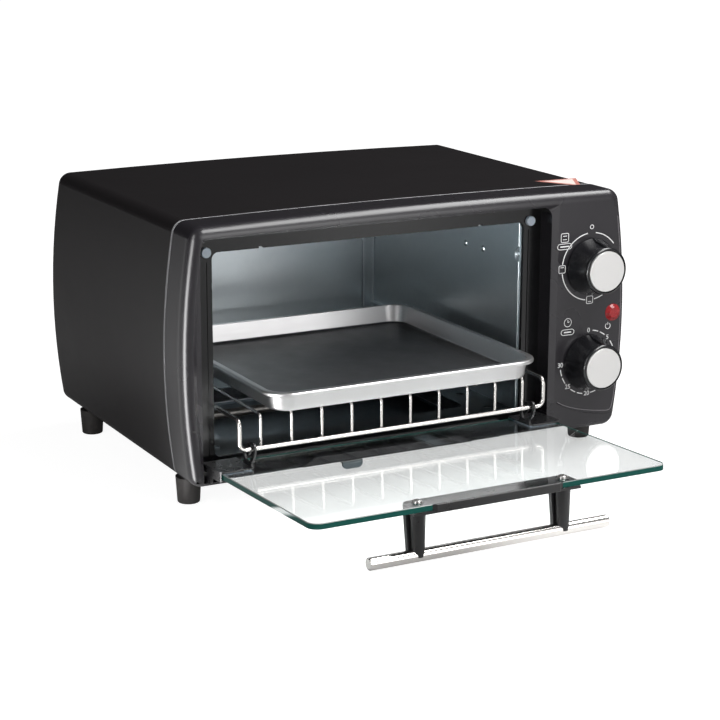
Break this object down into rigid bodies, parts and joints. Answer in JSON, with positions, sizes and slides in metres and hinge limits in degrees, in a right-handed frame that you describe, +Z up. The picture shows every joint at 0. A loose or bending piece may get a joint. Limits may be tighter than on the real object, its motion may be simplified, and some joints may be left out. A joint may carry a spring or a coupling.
{
  "type": "toaster oven",
  "caption": "Compact toaster oven with a drop-down glass door, bar handle, linked wire rack, baking tray, crumb tray, function and timer knobs.",
  "frame": {"origin": "on the counter, under the middle of the casing: midway between its sides and between its front frame and back edge", "axes": "+Z up, front faces -Y, +X to the right of a person facing the door"},
  "size_m": [0.366, 0.419, 0.2046],
  "materials": {
    "shell_paint": "satin dark brown-black paint",
    "frame_plastic": "fine-grained charcoal moulding",
    "knob_plastic": "gloss black",
    "galvanised_sheet": "galvanised sheet",
    "cavity_sheet": "aluminised sheet, satin",
    "black_plastic": "plain black moulding",
    "plated_steel": "zinc and nickel plate",
    "bracket_paint": "semi-gloss black",
    "foot_rubber": "dark matt rubber",
    "soft_pad": "pale silicone",
    "heater_sheath": "dull heat-toned tube",
    "ceramic": "off-white glazed ceramic",
    "lens_red": "translucent red",
    "lead_sleeve": "woven heat-proof sleeve",
    "door_glass": "clear tempered glass with green edges",
    "handle_chrome": "bright chrome",
    "rack_wire": "bright nickel plate",
    "tray_metal": "pressed bright sheet",
    "knob_disc": "satin silver"
  },
  "bodies": {
    "chassis": {"outer_shell": "shell_paint", "front_bezel": "frame_plastic", "front_plate": "galvanised_sheet", "bottom_pan": "galvanised_sheet", "back_panel": "galvanised_sheet", "cord_gland": "black_plastic", "back_screws": "plated_steel", "foot_front_left": "foot_rubber", "foot_front_right": "foot_rubber", "foot_rear_left": "foot_rubber", "foot_rear_right": "foot_rubber", "foot_screws": "plated_steel", "cavity_side_left": "cavity_sheet", "cavity_side_right": "cavity_sheet", "cavity_roof": "cavity_sheet", "cavity_back": "cavity_sheet", "cavity_floor": "cavity_sheet", "heat_shield": "galvanised_sheet", "heater_upper_front": "heater_sheath", "heater_upper_rear": "heater_sheath", "heater_lower_front": "heater_sheath", "heater_lower_rear": "heater_sheath", "heater_bushings": "ceramic", "function_switch": "black_plastic", "timer_unit": "plated_steel", "timer_bell": "plated_steel", "lamp_lens": "lens_red", "lamp_holder": "black_plastic", "thermal_cutout": "plated_steel", "terminal_block": "black_plastic", "internal_leads": "lead_sleeve", "hinge_lug_left": "plated_steel", "hinge_lug_right": "plated_steel", "door_bumpers": "soft_pad", "crumb_rail_left": "galvanised_sheet", "crumb_rail_right": "galvanised_sheet"},
    "door": {"door_glass": "door_glass", "hinge_bracket_left": "bracket_paint", "hinge_bracket_right": "bracket_paint", "hinge_pins": "plated_steel", "glass_pads": "soft_pad", "handle_bracket": "frame_plastic", "handle_rod": "handle_chrome", "handle_caps": "handle_chrome", "handle_screws": "plated_steel", "handle_washers": "plated_steel"},
    "rack": {"wire_rack": "rack_wire", "rack_front": "rack_wire"},
    "tray": {"baking_tray": "tray_metal"},
    "crumb_drawer": {"crumb_tray": "tray_metal"},
    "function_dial": {"function_knob": "knob_plastic", "function_knob_disc": "knob_disc", "function_shaft": "plated_steel"},
    "timer_dial": {"timer_knob": "knob_plastic", "timer_knob_disc": "knob_disc", "timer_shaft": "plated_steel"}
  },
  "joints": [
    {"name": "door_hinge", "type": "hinge", "parent": "chassis", "child": "door", "pos_m": [-0.027, -0.123, 0.028], "axis": [-1, 0, 0], "range_deg": [0, 87.5]},
    {"name": "rack_slide", "type": "slide", "parent": "chassis", "child": "rack", "axis": [0, 1, 0], "range_m": [0, 0.0461]},
    {"name": "tray_slide", "type": "slide", "parent": "rack", "child": "tray", "axis": [0, 1, 0], "range_m": [-0.08, 0]},
    {"name": "crumb_tray_slide", "type": "slide", "parent": "chassis", "child": "crumb_drawer", "axis": [0, 1, 0], "range_m": [-0.11, 0]},
    {"name": "function_turn", "type": "hinge", "parent": "chassis", "child": "function_dial", "pos_m": [0.1488, -0.13, 0.1463], "axis": [0, 1, 0], "range_deg": [0, 270]},
    {"name": "timer_turn", "type": "hinge", "parent": "chassis", "child": "timer_dial", "pos_m": [0.1488, -0.13, 0.0724], "axis": [0, 1, 0], "range_deg": [0, 270]}
  ],
  "couplings": [
    {"joint": "rack_slide", "follows": "door_hinge", "m_per_rad": 0.030121}
  ]
}
